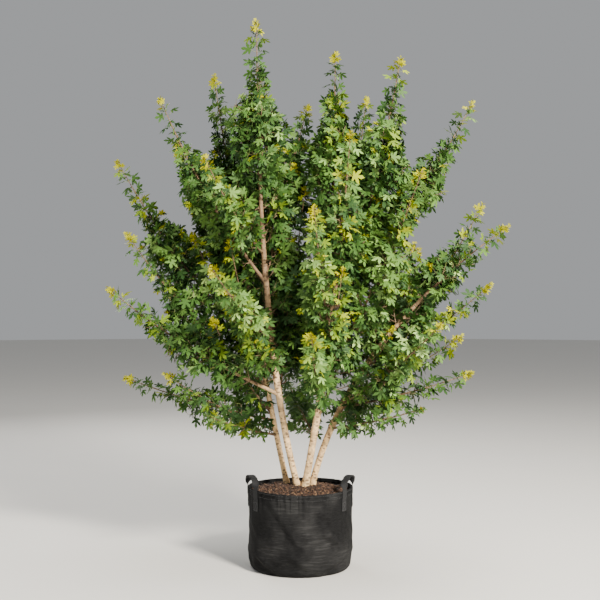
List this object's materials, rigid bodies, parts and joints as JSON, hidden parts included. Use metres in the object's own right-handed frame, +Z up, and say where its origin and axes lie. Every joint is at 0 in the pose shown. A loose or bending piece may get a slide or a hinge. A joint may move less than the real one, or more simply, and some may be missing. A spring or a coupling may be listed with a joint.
{
  "type": "potted multi-stem maple",
  "caption": "Young multi-stem maple with a broad, upright crown of lobed leaves, standing in a round fabric grow pot with webbing handles.",
  "frame": {"origin": "centre of the pot's flat underside", "axes": "+Z up, -Y to the front"},
  "size_m": [1.9358, 1.488, 2.612],
  "materials": {
    "pot_fabric": "matt woven felt",
    "webbing": "matt woven strap",
    "compost": "rough bark chips",
    "bark": "pale bark with small dark marks",
    "foliage": "satin leaves on thin twigs"
  },
  "bodies": {
    "root": {"fabric_pot": "pot_fabric", "soil": "compost", "handle_right": "webbing", "handle_left": "webbing", "stem_back_left": "bark", "stem_main": "bark", "stem_middle": "bark", "stem_right": "bark", "bough_upper_left": "bark", "bough_low_left": "bark", "bough_front_left": "bark", "bough_far_left_high": "bark", "bough_far_left": "bark", "bough_skirt_left": "bark", "bough_back_left_mid": "bark", "bough_right_leader": "bark", "bough_right_mid": "bark", "bough_back_leader": "bark", "bough_front_low": "bark", "bough_front_mid": "bark", "bough_back_mid": "bark", "bough_front_right": "bark", "bough_back_right_mid": "bark", "bough_far_right_high": "bark", "foliage_back_left": "foliage", "foliage_main": "foliage", "foliage_middle": "foliage", "foliage_right": "foliage", "foliage_upper_left": "foliage", "foliage_front_left_high": "foliage", "foliage_low_left": "foliage", "foliage_front_left": "foliage", "foliage_back_high": "foliage", "foliage_inner_back": "foliage", "foliage_far_left_high": "foliage", "foliage_far_left": "foliage", "foliage_skirt_left": "foliage", "foliage_skirt_front_left": "foliage", "foliage_back_left_low": "foliage", "foliage_back_left_mid": "foliage", "foliage_back_left_high": "foliage", "foliage_inner_left": "foliage", "foliage_right_leader": "foliage", "foliage_right_mid": "foliage", "foliage_back_leader": "foliage", "foliage_back_side": "foliage", "foliage_front_low": "foliage", "foliage_front_mid": "foliage", "foliage_back_low": "foliage", "foliage_back_mid": "foliage", "foliage_inner_right": "foliage", "foliage_front_right": "foliage", "foliage_right_side": "foliage", "foliage_far_right": "foliage", "foliage_skirt_right": "foliage", "foliage_skirt_front_right": "foliage", "foliage_back_right_low": "foliage", "foliage_back_right_mid": "foliage", "foliage_far_right_high": "foliage", "foliage_back_right_high": "foliage"}
  },
  "joints": []
}
